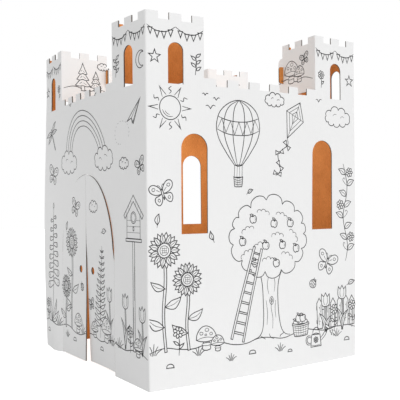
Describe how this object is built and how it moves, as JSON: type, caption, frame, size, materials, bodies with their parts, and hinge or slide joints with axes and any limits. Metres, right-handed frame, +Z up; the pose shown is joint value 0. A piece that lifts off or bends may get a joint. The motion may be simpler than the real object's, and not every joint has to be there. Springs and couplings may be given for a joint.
{
  "type": "cardboard castle",
  "caption": "Child's play castle folded from corrugated board, with corner towers, battlements, arched windows and an arched doorway with hinged leaves.",
  "frame": {"origin": "on the floor, in the middle of the plan", "axes": "+Z up; the wall with the doors faces -Y; +X to the right seen from in front of the doors"},
  "size_m": [0.813, 0.813, 1.08],
  "materials": {
    "board": "matte white liner outside with thin dark line print, bare brown kraft inside"
  },
  "bodies": {
    "castle": {"castle_shell": "board"},
    "left_leaf": {"left_door": "board"},
    "right_leaf": {"right_door": "board"}
  },
  "joints": [
    {"name": "left_door_crease", "type": "hinge", "parent": "castle", "child": "left_leaf", "pos_m": [-0.2398, -0.4065, 0], "axis": [0, 0, -1], "range_deg": [-18, 110]},
    {"name": "right_door_crease", "type": "hinge", "parent": "castle", "child": "right_leaf", "pos_m": [0.1898, -0.4065, 0], "axis": [0, 0, 1], "range_deg": [-15, 113]}
  ]
}
